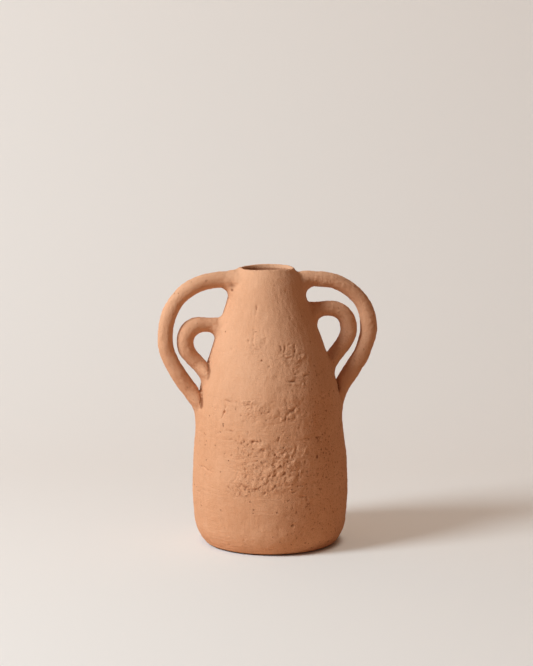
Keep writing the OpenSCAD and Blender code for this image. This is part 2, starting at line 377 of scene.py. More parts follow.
def nearHandle(handle, points):
    beyond = points[:, 0] * handle["side"] > handleStart
    return np.nonzero(beyond & (points[:, 2] > handle["map"]["low"][1]))[0]


def clayGap(points):
    gap = wallGap(points)  # wall and handles run together, with smeared creases
    for handle in handles:
        near = nearHandle(handle, points)
        spot = points[near]
        other = handleGap(handle, spot)
        smear = lookUp(handle["map"], "smear", spot[:, 0] * handle["side"], spot[:, 2])
        corner = np.hypot(np.maximum(smear - gap[near], 0), np.maximum(smear - other, 0))
        gap[near] = np.maximum(smear, np.minimum(gap[near], other)) - corner
    return gap


def clayNormal(points, reach=0.2):
    slope = np.empty_like(points)
    for k in range(3):
        shift = np.zeros(3)
        shift[k] = reach
        slope[:, k] = (clayGap(points + shift) - clayGap(points - shift)) / (2 * reach)
    return slope


def settle(points, rounds):
    for _ in range(rounds):  # brings each point onto the clay's surface
        slope = clayNormal(points)
        step = clayGap(points) / np.maximum((slope ** 2).sum(1), 0.25)
        points = points - np.clip(step, -1.5, 1.5)[:, None] * slope
    return points


# First skin: the wall and the coils as closed tubes, joined and remeshed

def tubeObject(name, handle, sides=20):
    path = handle["path"][::3]
    ahead = np.gradient(path[:, :2], axis=0)
    ahead /= np.linalg.norm(ahead, axis=1)[:, None]
    turn = np.arange(sides) * 2 * math.pi / sides
    rings = []
    for (px, pz, thick), (dx, dz) in zip(path, ahead):
        r = thick / 2
        rings.append(np.stack([handle["side"] * (px - dz * r * np.cos(turn)), r * np.sin(turn),
                               pz + dx * r * np.cos(turn)], axis=1))
    faces = [tuple(range(sides))[::-1], tuple(len(rings) * sides - sides + s for s in range(sides))]
    for k in range(0, (len(rings) - 1) * sides, sides):
        for s in range(sides):
            t = (s + 1) % sides
            faces.append((k + s, k + t, k + sides + t, k + sides + s))
    return newObject(name, np.vstack(rings), faces)


def remeshed(thing, cell):
    change = thing.modifiers.new("skin", "REMESH")
    change.mode = "VOXEL"
    change.voxel_size = cell
    shown = thing.evaluated_get(bpy.context.evaluated_depsgraph_get())
    mesh = bpy.data.meshes.new_from_object(shown)
    thing.modifiers.clear()
    old = thing.data
    thing.data = mesh
    bpy.data.meshes.remove(old)
    return thing


def joined(name, things):
    points, faces, start = [], [], 0
    for thing in things:
        points.append(meshPoints(thing.data))
        faces += [tuple(start + v for v in f.vertices) for f in thing.data.polygons]
        start += len(points[-1])
        dropObject(thing)
    return newObject(name, np.vstack(points), faces)


skin = joined("skin", [turnedObject("wall_block", outline, body["turnSteps"])]
              + [tubeObject(h["node"] + "_coil", h) for h in handles])
remeshed(skin, body["cell"])
setMeshPoints(skin.data, settle(meshPoints(skin.data), 4))
remeshed(skin, body["cell"])
setMeshPoints(skin.data, settle(meshPoints(skin.data), 2))
print("skin of", len(skin.data.vertices), "points")


# Marks in the surface, in millimetres in or out

wallWaves = [(40, 0.5, 1), (17, 0.36, 2), (7.5, 0.2, 3)]  # size, height, seed
handleWaves = [(21, 0.46, 12), (9, 0.28, 13), (3.2, 0.22, 14), (2, 0.16, 16)]
# darkening of dimples on the handles, colour only: painted shade
handleDimpleShade = {"size": 2.2, "depth": 0.5}
scrapeMarks = {
    "level": (0.1, 0.1, 0.42), "levelDepth": 0.13,  # strokes round the wall, low down
    "upright": (0.42, 0.42, 0.06), "uprightDepth": 0.14,  # strokes up the shoulder
    "turnOver": (120, 175),  # heights where one gives way to the other
}
sand = {
    "facing": 75, "least": 0.12,  # angle where it is coarsest, share left elsewhere
    "fades": (150, 200), "grain": 2.1, "grainHeight": 0.12, "lumps": [(3.4, 0.14, 11)], "shadeShare": 0.75,
}
seams = {
    "lines": [(54.5, 0.14), (105, 0.45), (139, 0.5), (178, 0.2), (215, 0.1)],  # height, depth
    "width": 0.85,
    "sway": 2.2,  # how far a line wanders up and down
}
tornClay = {
    # Angle from the camera, height, half width in degrees, half height, strength
    "patches": [(8, 84, 20, 22, 0.9), (-8, 66, 24, 11, 0.8), (26, 177, 17, 11, 0.8),
                (26, 157, 12, 9, 0.5), (-14, 103, 13, 5, 0.6), (-4, 128, 18, 10, 0.5),
                (16, 130, 13, 11, 0.7), (-16, 137, 8, 4, 0.6), (-18, 95, 12, 9, 0.7),
                (-14, 80, 14, 10, 0.7), (-22, 61, 12, 7, 0.8), (-12, 132, 14, 6, 0.6),
                (-14, 188, 15, 12, 0.4), (40, 92, 14, 36, 0.3), (118, 84, 34, 24, 0.8),
                (176, 70, 36, 26, 0.9), (150, 160, 26, 18, 0.6), (-150, 150, 24, 22, 0.7),
                (-118, 80, 30, 22, 0.7), (-170, 108, 26, 8, 0.6)],
    "waves": [(9, 0.52, 6), (4.2, 0.42, 7)], "chip": 2.3, "chipHeight": 0.2, "chipShade": 0.36,
    "seed": 5, "stroke": 56,  # gouges run up to the right, by about this many degrees
    # Spacing of the gouges, half length, half width and depth
    "sets": [(8, (1.2, 3.0), (0.8, 1.3), (0.25, 0.75)), (4, (0.7, 1.7), (0.55, 0.8), (0.2, 0.65))],
}
pits = {
    "seed": 11, "count": 190, "lowest": 6, "span": 235, "crowd": 1.7,  # most of them lie low
    "size": (0.45, 0.75), "depth": (0.3, 0.8),
    # Angle, height and size of those that stand out at the front
    "listed": [(-41, 181.5, 0.9), (-6.5, 174, 1.0), (52.5, 187, 1.0), (-48.5, 130, 0.9),
               (-52, 130.5, 0.7), (-22.5, 127, 0.8), (-20, 121.5, 0.8), (-2, 123.5, 0.8),
               (0, 130.5, 0.9), (-5.5, 129.5, 0.9), (3.5, 119.5, 0.9), (-26, 104, 0.9), (-21, 102, 1.0),
               (-19, 103.5, 0.9), (-16, 101.5, 0.9), (-12.5, 104, 1.1), (-9, 105, 0.8),
               (-6.5, 105.5, 0.8), (-12.5, 97.5, 1.1), (-15.5, 92, 0.9), (-20.5, 89.5, 0.8),
               (4.5, 93, 1.1), (6.5, 89.5, 1.1), (2.5, 84, 1.0), (-18, 79, 1.0), (-65.5, 51, 1.0),
               (-56, 69, 0.9), (-48, 76, 0.8), (17, 29.5, 1.2), (24.5, 20.5, 1.1), (38.5, 37, 1.1),
               (38, 88.5, 1.1), (39, 105.5, 1.1), (24, 115.5, 1.0), (38.5, 78, 0.9), (28, 51.5, 1.1),
               (-39.5, 30.5, 0.7), (-35.5, 91.5, 0.8), (-29.5, 90.5, 0.9), (47.5, 90, 0.9),
               (-18.5, 61.5, 0.9), (40, 59.5, 0.9)],
}
scratches = {
    # Angle and height of both ends, width, depth; a negative depth stands proud
    "neck": [(-15, 220, -15, 213, 0.9, 0.6), (-17, 201, -16, 187, 0.9, 0.4),
             (-3, 196, -3, 189, 1.0, 0.25)],
    "shoulder": [(12.5, 188, 13.5, 180, 0.9, 0.5), (18.5, 186, 18, 181.5, 0.8, 0.6),
                 (29, 186, 27, 176, 0.9, 0.45), (19.5, 175.5, 23, 176, 0.8, 0.5),
                 (22, 161.5, 29, 162, 1.0, 0.5), (34, 160, 40, 160, 0.9, 0.4),
                 (18.5, 156, 24, 156, 0.9, 0.6), (22, 153.5, 31.5, 153, 0.8, -0.45)],
    "waist": [(27, 137, 14.5, 127.5, 0.9, 0.35), (10, 128, 10.5, 120, 0.7, -0.55),
              (13.5, 127, 13, 120, 0.8, 0.5), (4.5, 131.5, 4.5, 125.5, 1.4, -0.4),
              (-20.5, 137, -12.5, 141, 0.7, 0.6), (-14, 136.5, -14, 134, 0.7, 0.55),
              (-37, 135, -37, 131, 0.6, 0.5), (-37, 132, -40, 123, 0.7, 1.4),
              (-35, 137.5, -28.5, 138, 0.6, 0.4), (-45, 108.5, -36, 112, 0.7, 0.6),
              (-36, 112, -28, 112, 0.7, 0.5), (48, 134.5, 52, 131, 0.8, 0.5)],
    "belly": [(-7, 98.5, -2, 103.5, 1.8, -0.5), (6.5, 102, 7.5, 108, 0.9, 0.6),
              (20.5, 100, 20, 92.5, 1.1, 0.6), (25.5, 91, 28.5, 96.5, 0.8, -0.55),
              (16, 90, 18.5, 96.5, 0.8, -0.5), (10.5, 90.5, 13, 94.5, 0.8, -0.5),
              (16, 81, 19, 88, 0.8, -0.55), (14.5, 82, 16.5, 85.5, 0.7, -0.5),
              (3, 80, 7, 83.5, 0.8, -0.5), (22, 73.5, 23.5, 78.5, 0.8, -0.6),
              (20.5, 70, 22, 75.5, 0.8, 0.7), (-10.5, 61.5, -3, 67.5, 0.8, 0.3),
              (-3, 67.5, 6, 77, 0.9, 0.4), (-21, 55, -14, 57.5, 0.8, 0.6),
              (-23, 77, -23, 71.5, 0.7, 0.45), (-34, 58, -31.5, 63.5, 0.7, 0.35),
              (-31, 57.5, -29, 62, 0.7, 0.5), (19, 64, 27, 66, 0.7, 0.45),
              (27, 66, 38, 66.5, 0.7, 0.35), (22.5, 55, 28, 53.5, 0.7, 0.7),
              (14.5, 59, 20, 59.5, 0.8, 0.5), (-66, 75, -58, 75.5, 0.7, 0.7),
              (-58, 75.5, -50, 73, 0.7, 0.7)],
}
# Broad lumps and dents: angle, height, reach, rise
lumps = [(15, 69, 4, 0.6), (3, 97, 3.5, -0.55), (-4, 101, 3, 0.35), (31, 174, 2.2, 0.5),
         (38, 177, 2, 0.45), (42, 174, 2, 0.5), (41, 169, 2, 0.45), (21, 178, 2, 0.5),
         (20, 141, 3, 0.4), (18, 126, 3, 0.4), (2, 126, 2.5, 0.35), (12, 149, 4, -0.3),
         (7, 158, 4, -0.25), (-9, 73, 4, 0.3), (-4, 80, 4, -0.3)]
# Thumb dents and pits at the handles' roots, pressed in and darkened with painted shade: across, side, up,
# size, depth
dents = [(-32.5, -1, 235, 3.0, 1.5), (-33, -1, 231, 1.0, 1.0), (-41, -1, 232.5, 1.1, 0.9),
         (44, -1, 233.5, 2.4, 0.5)]


def wallSpot(angle, z):
    r = radiusAt(z)
    turn = math.radians(angle - view["turn"])
    return np.array([r * math.sin(turn), -r * math.cos(turn), z])


def tornMask(points, angle):
    mask = np.zeros(len(points))
    for at, z, halfAngle, halfHeight, strength in tornClay["patches"]:
        turn = (angle - at + 180) % 360 - 180
        reach = (turn / halfAngle) ** 2 + ((points[:, 2] - z) / halfHeight) ** 2
        mask = np.maximum(mask, strength * np.clip(1.25 - reach, 0, 1))
    return ramp(mask + 0.35 * clayNoise(points, 11, 21) * (mask > 0), 0.12, 0.75)


def ragged(points):
    drift = np.stack([clayNoise(points, 4.5, seed) for seed in (71, 72, 73)], axis=1)
    return points + 0.9 * drift  # edges of the marks wander


def pitList():
    draw = np.random.default_rng(pits["seed"])
    spots = [(wallSpot(a, z), 0.8 * s, 1.2 * s) for a, z, s in pits["listed"]]
    for _ in range(pits["count"]):
        z = pits["span"] * draw.random() ** pits["crowd"] + pits["lowest"]
        angle = draw.uniform(-180, 180)
        spots.append((wallSpot(angle, z), draw.uniform(*pits["size"]), draw.uniform(*pits["depth"])))
    return spots


def gougeList():
    draw = np.random.default_rng(tornClay["seed"])
    made = []
    for at, z, halfAngle, halfHeight, strength in tornClay["patches"]:
        area = strength * math.pi * math.radians(halfAngle) * radiusAt(z) * halfHeight
        for spacing, long, wide, depth in tornClay["sets"]:
            for _ in range(int(area / spacing ** 2)):
                turn, out = draw.uniform(0, 2 * math.pi), math.sqrt(draw.random())
                spot = wallSpot(at + halfAngle * out * math.cos(turn),
                                z + halfHeight * out * math.sin(turn))
                stroke = math.radians(draw.normal(tornClay["stroke"], 22))
                made.append((spot, stroke, draw.uniform(*long), draw.uniform(*wide),
                             draw.uniform(*depth) * (1 - 0.5 * out)))
    return made


def nearLine(points, a, b):
    t = np.clip((points - a) @ (b - a) / ((b - a) @ (b - a)), 0, 1)
    return np.linalg.norm(points - a - t[:, None] * (b - a), axis=1), t


def pressGouges(points, high, hollow):
    order = np.argsort(points[:, 2])  # points already ragged
    rising = points[order, 2]
    for spot, stroke, long, wide, depth in gougeList():
        low, top = np.searchsorted(rising, [spot[2] - 3 * long, spot[2] + 3 * long])
        near = order[low:top]
        away = points[near] - spot
        out = np.array([spot[0], spot[1], 0]) / math.hypot(spot[0], spot[1])
        side = away @ np.array([-out[1], out[0], 0])
        close = (np.abs(away @ out) < 6) & (np.abs(side) < 3 * long)
        near, side, up = near[close], side[close], away[close, 2]
        along = side * math.cos(stroke) + up * math.sin(stroke)
        across = up * math.cos(stroke) - side * math.sin(stroke)
        dip = depth * bump(along, long) * bump(across, wide)
        lip = 0.55 * depth * bump(along - 1.3 * long, 0.7 * long) * bump(across, 1.5 * wide)
        high[near] += lip - dip  # clay pushed up where the stroke ends
        # the gouge is also darkened: painted shade in its hollow
        hollow[near] += 0.9 * dip


def wallRelief(points):
    angle, z = frontAngle(points), points[:, 2]
    high = waves(points, wallWaves)
    hollow = np.zeros(len(points))
    level = clayNoise(points * scrapeMarks["level"], 1, 4)
    upright = clayNoise(points * scrapeMarks["upright"], 1, 5)
    lift = ramp(z, *scrapeMarks["turnOver"])
    high += (scrapeMarks["levelDepth"] * level * (1 - lift)
             + scrapeMarks["uprightDepth"] * upright * (0.55 + 0.45 * lift))
    # Torn patches, uneven and gouged
    torn = tornMask(points, angle)
    chips = clayNoise(points, tornClay["chip"], 8)
    high += torn * (waves(points, tornClay["waves"]) + tornClay["chipHeight"] * chips)
    # low spots of the chips are darkened: painted shade
    hollow += torn * tornClay["chipShade"] * ramp(-chips, 0.15, 0.7)
    rough = ragged(points)
    pressGouges(rough, high, hollow)
    # Sandy grain, coarser to the right of the seams' ends
    turned = np.cos(np.radians(angle - sand["facing"])) + 0.5 * clayNoise(points, 30, 9)
    sandy = sand["least"] + (1 - sand["least"]) * ramp(turned, 0, 0.9)
    sandy *= 1 - 0.6 * ramp(z, *sand["fades"])
    grains = clayNoise(points, sand["grain"], 10)
    high += sandy * (waves(points, sand["lumps"]) + sand["grainHeight"] * grains)
    # low spots of the sand grain are darkened: painted shade
    hollow += sandy * sand["shadeShare"] * ramp(-grains, 0.15, 0.75)
    # Broken lines where the courses meet
    for k, (height, depth) in enumerate(seams["lines"]):
        line = z - height - seams["sway"] * clayNoise(points * [1, 1, 0], 24, 30 + k)
        broken = ramp(clayNoise(points * [1, 1, 0.3], 6, 40 + k), 0.1, 0.5)
        groove = depth * broken * bump(line, seams["width"])
        high += 0.3 * depth * (ramp(line, -1.5, 1.5) - 0.5) * bump(line, 7) - groove
        # the grooves are darkened: painted shade
        hollow += groove
    for spot, size, depth in pitList():
        near = np.nonzero(np.abs(z - spot[2]) < 3 * size + 2)[0]
        gap = np.linalg.norm(0.4 * points[near] + 0.6 * rough[near] - spot, axis=1)
        dip = bump(gap, size) * depth
        high[near] -= dip
        # the pits are darkened: painted shade
        hollow[near] += 1.3 * dip
    for a0, z0, a1, z1, width, depth in sum(scratches.values(), []):
        near = np.nonzero((z > min(z0, z1) - 5) & (z < max(z0, z1) + 5))[0]
        gap, t = nearLine(rough[near], wallSpot(a0, z0), wallSpot(a1, z1))
        broken = 0.35 + 0.85 * ramp(clayNoise(points[near], 2.6, 74), -0.35, 0.35)
        dip = 1.3 * depth * broken * bump(gap, width) * (0.55 + 0.45 * np.sin(math.pi * (0.15 + 0.7 * t)))
        high[near] -= dip
        # where cut in, the scratches are darkened: painted shade
        hollow[near] += np.maximum(dip, 0)
    for at, height, reach, rise in lumps:
        near = np.nonzero(np.abs(z - height) < 3 * reach)[0]
        high[near] += rise * bump(np.linalg.norm(points[near] - wallSpot(at, height), axis=1), reach)
    hollow += 1.2 * (1 - ramp(z, 0.8, 2.2))  # painted contact shade: darker at the foot's lowest edge, on the table
    return high, hollow, np.maximum(torn, 0.7 * sandy)


def handleRelief(points):
    # The handles' dimples are only darkened, not pressed in: painted shade
    dimpleShadeMask = ramp(-clayNoise(points, handleDimpleShade["size"], 15), 0.25, 0.8)
    return waves(points, handleWaves), handleDimpleShade["depth"] * dimpleShadeMask


def clayRelief(points):
    high, hollow, torn = wallRelief(points)
    gap = wallGap(points)
    for handle in handles:
        near = nearHandle(handle, points)
        spot = points[near]
        lead = gap[near] - handleGap(handle, spot)  # above nought on the handle, below it on the wall
        share = ramp(lead, -2.5, 2.5)
        smooth, dimpleShade = handleRelief(spot)
        high[near] += (smooth - high[near]) * share
        hollow[near] += (dimpleShade - hollow[near]) * share
        torn[near] *= 1 - share
        for top, low, depth, shift in handle["cracks"]:
            z = spot[:, 2]
            crack = depth * bump(lead + shift, 1.4) * ramp(z, low, low + 5)
            crack *= (1 - ramp(z, top + 1, top + 4)) * (spot[:, 1] < 3)  # on the front only
            high[near] -= crack
            # the crease is darkened as well: painted shade
            hollow[near] += 2.4 * crack
    for x, side, z, size, depth in dents:
        dip = depth * bump(np.hypot(points[:, 0] - x, points[:, 2] - z), size) * (points[:, 1] * side > 0)
        high -= dip
        # the dents are darkened: painted shade
        hollow += (1.1 if size < 2 else 0.4) * dip
    stand = ramp(points[:, 2], 0.5, 4)  # the underside stays flat
    return high * stand, np.clip(hollow, 0, 1.5), torn


points = meshPoints(skin.data)
normal = clayNormal(points)
normal /= np.linalg.norm(normal, axis=1)[:, None]
setMeshPoints(skin.data, points + normal * clayRelief(points)[0][:, None])
print("surface marks pressed in")


# Cutting the skin into the pieces the potter joined

def carved(name, base, tool, how):
    made = placed(name, base.data)
    change = made.modifiers.new("cut", "BOOLEAN")
    change.solver = "MANIFOLD"
    change.operation = how
    change.object = tool
    mesh = bpy.data.meshes.new_from_object(made.evaluated_get(bpy.context.evaluated_depsgraph_get()))
    made.modifiers.clear()
    made.data = mesh
    mesh.name = name
    return made


def innerProfile():
    rows = dict(facingRows(body["courses"], -2, -0.7))
    heights = np.array(sorted(rows))
    return heights, np.array([rows[z] for z in heights])


cavityHeights, cavityRadii = innerProfile()


def cavityRadius(z):
    return np.interp(z, cavityHeights, cavityRadii)


joints = [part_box(name)[0].z / mm for name in body["courses"]] + [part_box("rim_coil")[0].z / mm]
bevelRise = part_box("foot_course")[1].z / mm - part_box("belly_course")[0].z / mm
spare = 9  # how far the cutting rings stand out past the wall
wander = {"size": 35, "rise": 0.9, "starts": (20, 45), "ends": (225, 238)}  # of the joints, up and down


def jointEnds(k):
    z = joints[k]
    rise = bevelRise if k else 0
    out, inner = radiusAt(z), cavityRadius(z + rise)
    return (inner, z + rise), (out + spare, z - rise * spare / (out - inner))


def courseOutline(k):
    lowIn, lowOut = jointEnds(k)
    highIn, highOut = jointEnds(k + 1)
    heights = np.linspace(highIn[1], lowIn[1], 14)[1:-1]
    return [lowIn, lowOut, highOut, highIn] + [(cavityRadius(z), z) for z in heights]


def jointSway(points):
    ring = points * [1, 1, 0]  # the joints wander a little, but not at the foot and the lip
    ring = 60 * ring / np.maximum(np.linalg.norm(ring, axis=1), 1)[:, None]
    free = ramp(points[:, 2], *wander["starts"]) * (1 - ramp(points[:, 2], *wander["ends"]))
    return wander["rise"] * clayNoise(ring, wander["size"], 50) * free


cutters = {
    "under": 6,  # how far the envelope reaches below and around the foot
    "sideTop": 244, "lipRadius": 27.4, "lipFoot": 246, "top": 256,  # where it runs straight up past the lip
    "slabReach": 120, "slabUnder": 9, "rimReach": 60, "rimTop": 270,
}


def envelopeOutline():
    under, top, lip = cutters["under"], cutters["top"], cutters["lipRadius"] + body["skinLift"]
    side = [(radiusAt(z) + body["skinLift"], z) for z in np.arange(0, cutters["sideTop"], 2.0)]
    heel = [(0, -under), (radiusAt(0.0) + under, -under)]
    return heel + side + [(lip, cutters["lipFoot"]), (lip, top), (0, top)]


def wallPiece(node, tool):
    pieces[node] = carved(node + "_clay", plainWall, tool, "INTERSECT")
    dropObject(tool)


envelope = turnedObject("envelope", envelopeOutline(), body["turnSteps"] * 2)
pieces = {}
coils = carved("coils", skin, envelope, "DIFFERENCE")
plainWall = carved("plain_wall", skin, envelope, "INTERSECT")
for k, name in enumerate(body["courses"]):
    wallPiece(name, ringObject("ring", courseOutline(k), body["turnSteps"], jointSway))
slabTop = joints[0]
slabReach, slabUnder = cutters["slabReach"], -cutters["slabUnder"]
slabBlock = [(0, slabUnder), (slabReach, slabUnder), (slabReach, slabTop), (0, slabTop)]
wallPiece("base_slab", turnedObject("block", slabBlock, body["turnSteps"]))
rimIn, rimOut = jointEnds(len(body["courses"]))
rimReach, rimTop = cutters["rimReach"], cutters["rimTop"]
rimBlock = [(0, rimIn[1]), rimIn, rimOut, (rimReach, rimOut[1]), (rimReach, rimTop), (0, rimTop)]
wallPiece("rim_coil", turnedObject("block", rimBlock, body["turnSteps"]))


def splitHandles():
    spots = meshPoints(coils.data)
    owner = np.argmin(np.stack([np.where(spots[:, 0] * h["side"] > 0, handleGap(h, spots), 1e6)
                                for h in handles]), axis=0)
    faces = [tuple(f.vertices) for f in coils.data.polygons]
    for k, handle in enumerate(handles):
        keep = np.nonzero(owner == k)[0]
        place = {v: i for i, v in enumerate(keep.tolist())}
        mine = [tuple(place[v] for v in f) for f in faces if all(v in place for v in f)]
        pieces[handle["node"]] = newObject(handle["node"] + "_clay", spots[keep], mine)


splitHandles()
for spent in [coils, plainWall, envelope, skin]:
    dropObject(spent)

cornerCoil = {"steps": 120, "fingerWidth": 13, "wobble": 0.7}


def makeCornerCoil():
    low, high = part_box("corner_coil")
    corner, top, rise = cavityRadius(slabTop), high.z / mm, (high.z - low.z) / mm
    bow = [(corner - rise * math.cos(a) ** 1.3 + 0.2, slabTop + rise * math.sin(a) ** 1.3)
           for a in np.linspace(0, math.pi / 2, 9)]
    back = [(cavityRadius(z), z) for z in np.linspace(top, slabTop, 5)]
    made = ringObject("corner_coil_clay", (bow[:-1] + back)[::-1], cornerCoil["steps"])
    spots = meshPoints(made.data)
    reach = np.linalg.norm(spots[:, :2], axis=1)
    free = ramp(cavityRadius(spots[:, 2]) - reach, 0.5, 4) * ramp(spots[:, 2], slabTop, slabTop + 2)
    spots[:, :2] *= (1 + cornerCoil["wobble"] * clayNoise(spots, cornerCoil["fingerWidth"], 60) * free
                     / reach)[:, None]
    setMeshPoints(made.data, spots)
    pieces["corner_coil"] = made


makeCornerCoil()
print("pieces cut:", {name: len(piece.data.polygons) for name, piece in pieces.items()})


# Finishing a piece: painted shade and torn marks stored for the material, lean, metres, smooth shading

def axisShift(points):
    z = points[:, 2]
    shift = body["lean"] * z + sum(move * bump(z - height, reach) for height, move, reach in body["bows"])
    return np.stack([shift * turnCos, -shift * turnSin, np.zeros(len(z))], axis=1)


def rimSag(points):
    turn = np.radians(frontAngle(points))
    drop = rim["front"] + rim["sides"] * np.sin(turn) ** 2 + rim["back"] * (0.5 - 0.5 * np.cos(turn))
    reach = np.linalg.norm(points[:, :2], axis=1)
    return drop * ramp(points[:, 2], *rim["sagFrom"]) * (1 - ramp(reach, *rim["sagReach"]))


def dropLooseBits(piece):
    form = bmesh.new()
    form.from_mesh(piece.data)
    shells, seen = [], set()
    for start in form.verts:
        if start in seen:
            continue
        shell, queue = [], [start]
        seen.add(start)
        while queue:
            vert = queue.pop()
            shell.append(vert)
            for edge in vert.link_edges:
                other = edge.other_vert(vert)
                if other not in seen:
                    seen.add(other)
                    queue.append(other)
        shells.append(shell)
    shells.sort(key=len)
    for shell in shells[:-1]:
        bmesh.ops.delete(form, geom=shell, context="VERTS")
    form.to_mesh(piece.data)
    form.free()


def finishPiece(piece):
    dropLooseBits(piece)
    mesh = piece.data
    spots = meshPoints(mesh)
    _, hollow, torn = clayRelief(spots)
    for label, values in [("hollow", hollow), ("torn", torn)]:
        layer = mesh.attributes.new(label, "FLOAT", "POINT")
        layer.data.foreach_set("value", values.astype(np.float32))
    spots[:, 2] -= rimSag(spots)
    setMeshPoints(mesh, (spots + axisShift(spots)) * mm)
    mesh.shade_smooth()
    mesh.set_sharp_from_angle(angle=math.radians(70))


# Shader groups that the clays share

colorSocket, valueSocket = "NodeSocketColor", "NodeSocketFloat"
# hollow is the colour of painted shade in hollows, cracks and at the foot; grit and bloom are the clay's
# own
clayTones = {"hollow": (0.26, 0.1, 0.045, 1), "grit": (0.3, 0.125, 0.06, 1), "bloom": (0.7, 0.43, 0.285, 1)}


def newGroup(name, inputs, outputs):
    tree = bpy.data.node_groups.new(name, "ShaderNodeTree")
    for label, kind, value in inputs:
        socket = tree.interface.new_socket(name=label, in_out="INPUT", socket_type=kind)
        socket.default_value = value
    for label, kind in outputs:
        tree.interface.new_socket(name=label, in_out="OUTPUT", socket_type=kind)
    return tree, tree.nodes.new("NodeGroupInput"), tree.nodes.new("NodeGroupOutput")


def feed(tree, node, values):
    for label, value in values.items():  # numbers and colours are set, sockets are linked
        if isinstance(value, (int, float, tuple)):
            node.inputs[label].default_value = value
        else:
            tree.links.new(value, node.inputs[label])


def addNode(tree, kind, values=None, **settings):
    node = tree.nodes.new(kind)
    for key, value in settings.items():
        setattr(node, key, value)
    feed(tree, node, values or {})
    return node


def noiseNode(tree, coords, scale, detail, rough):
    values = {"Vector": coords, "Scale": scale, "Detail": detail, "Roughness": rough}
    return addNode(tree, "ShaderNodeTexNoise", values).outputs["Fac"]


def stretched(tree, coords, scale):
    return addNode(tree, "ShaderNodeMapping", {"Vector": coords, "Scale": scale}).outputs["Vector"]


def mathNode(tree, how, *values):
    return addNode(tree, "ShaderNodeMath", dict(enumerate(values)), operation=how).outputs["Value"]


def rangeNode(tree, value, low, high, start=0.0, end=1.0):
    values = {"Value": value, "From Min": low, "From Max": high, "To Min": start, "To Max": end}
    return addNode(tree, "ShaderNodeMapRange", values, interpolation_type="SMOOTHSTEP").outputs["Result"]


def mixNode(tree, share, a, b):
    node = addNode(tree, "ShaderNodeMix", data_type="RGBA")
    spots = [k for k, socket in enumerate(node.inputs) if socket.enabled]
    feed(tree, node, dict(zip(spots, [share, a, b])))
    return [socket for socket in node.outputs if socket.enabled][0]


def mixShaders(tree, share, first, second):
    return addNode(tree, "ShaderNodeMixShader", {"Fac": share, 1: first, 2: second}).outputs["Shader"]


def makeMottleGroup():
    white = (1, 1, 1, 1)
    inputs = [("Pale", colorSocket, white), ("Deep", colorSocket, white), ("Spread", valueSocket, 0.5),
              ("Bloom", valueSocket, 0.3), ("Grit", valueSocket, 0.0)]
    tree, start, end = newGroup("clayMottle", inputs, [("Color", colorSocket)])
    coords = addNode(tree, "ShaderNodeTexCoord").outputs["Object"]
    broad = rangeNode(tree, noiseNode(tree, coords, 26, 4, 0.55), 0.32, 0.68)
    streaks = rangeNode(tree, noiseNode(tree, stretched(tree, coords, (240, 240, 16)), 1, 3, 0.6), 0.3, 0.7)
    fine = rangeNode(tree, noiseNode(tree, coords, 420, 3, 0.6), 0.3, 0.7)
    grit = rangeNode(tree, noiseNode(tree, coords, 1000, 2, 0.6), 0.56, 0.7)
    share = mathNode(tree, "MULTIPLY_ADD", fine, 0.3, mathNode(tree, "MULTIPLY", broad, 0.45))
    share = mathNode(tree, "MULTIPLY_ADD", streaks, 0.25, share)
    share = mathNode(tree, "MULTIPLY", share, start.outputs["Spread"])
    color = mixNode(tree, share, start.outputs["Pale"], start.outputs["Deep"])
    gritShare = mathNode(tree, "MULTIPLY_ADD", start.outputs["Grit"], 0.85, 0.1)
    color = mixNode(tree, mathNode(tree, "MULTIPLY", grit, gritShare), color, clayTones["grit"])
    parts = addNode(tree, "ShaderNodeSeparateXYZ", {"Vector": coords})
    patchy = noiseNode(tree, coords, 14, 3, 0.5)
    height = mathNode(tree, "MULTIPLY_ADD", patchy, 0.09, parts.outputs["Z"])
    bloom = mathNode(tree, "MULTIPLY", rangeNode(tree, height, 0.15, 0.215), start.outputs["Bloom"])
    color = mixNode(tree, bloom, color, clayTones["bloom"])
    tree.links.new(color, end.inputs["Color"])
    return tree


# pin holes are pressed in by the bump and darkened with painted shade
pinHoles = {"scale": 300, "edge": (0.13, 0.27), "shadeShare": 0.6, "depth": 2.0}


def makePinHoleGroup():
    tree, start, end = newGroup("pinHoles", [("Share", valueSocket, 0.5)], [("Mask", valueSocket)])
    coords = addNode(tree, "ShaderNodeTexCoord").outputs["Object"]
    cells = addNode(tree, "ShaderNodeTexVoronoi", {"Vector": coords, "Scale": pinHoles["scale"]},
                    feature="F1")
    chance = addNode(tree, "ShaderNodeSeparateColor", {"Color": cells.outputs["Color"]})
    hole = rangeNode(tree, cells.outputs["Distance"], *pinHoles["edge"], 1.0, 0.0)
    parts = addNode(tree, "ShaderNodeSeparateXYZ", {"Vector": coords})
    patchy = rangeNode(tree, noiseNode(tree, coords, 45, 2, 0.5), 0.38, 0.66)
    lower = rangeNode(tree, parts.outputs["Z"], 0.08, 0.16, 1.0, 0.12)
    limit = mathNode(tree, "MULTIPLY", mathNode(tree, "MULTIPLY", start.outputs["Share"], lower), patchy)
    mask = mathNode(tree, "MULTIPLY", hole, mathNode(tree, "LESS_THAN", chance.outputs["Red"], limit))
    tree.links.new(mask, end.inputs["Mask"])
    return tree


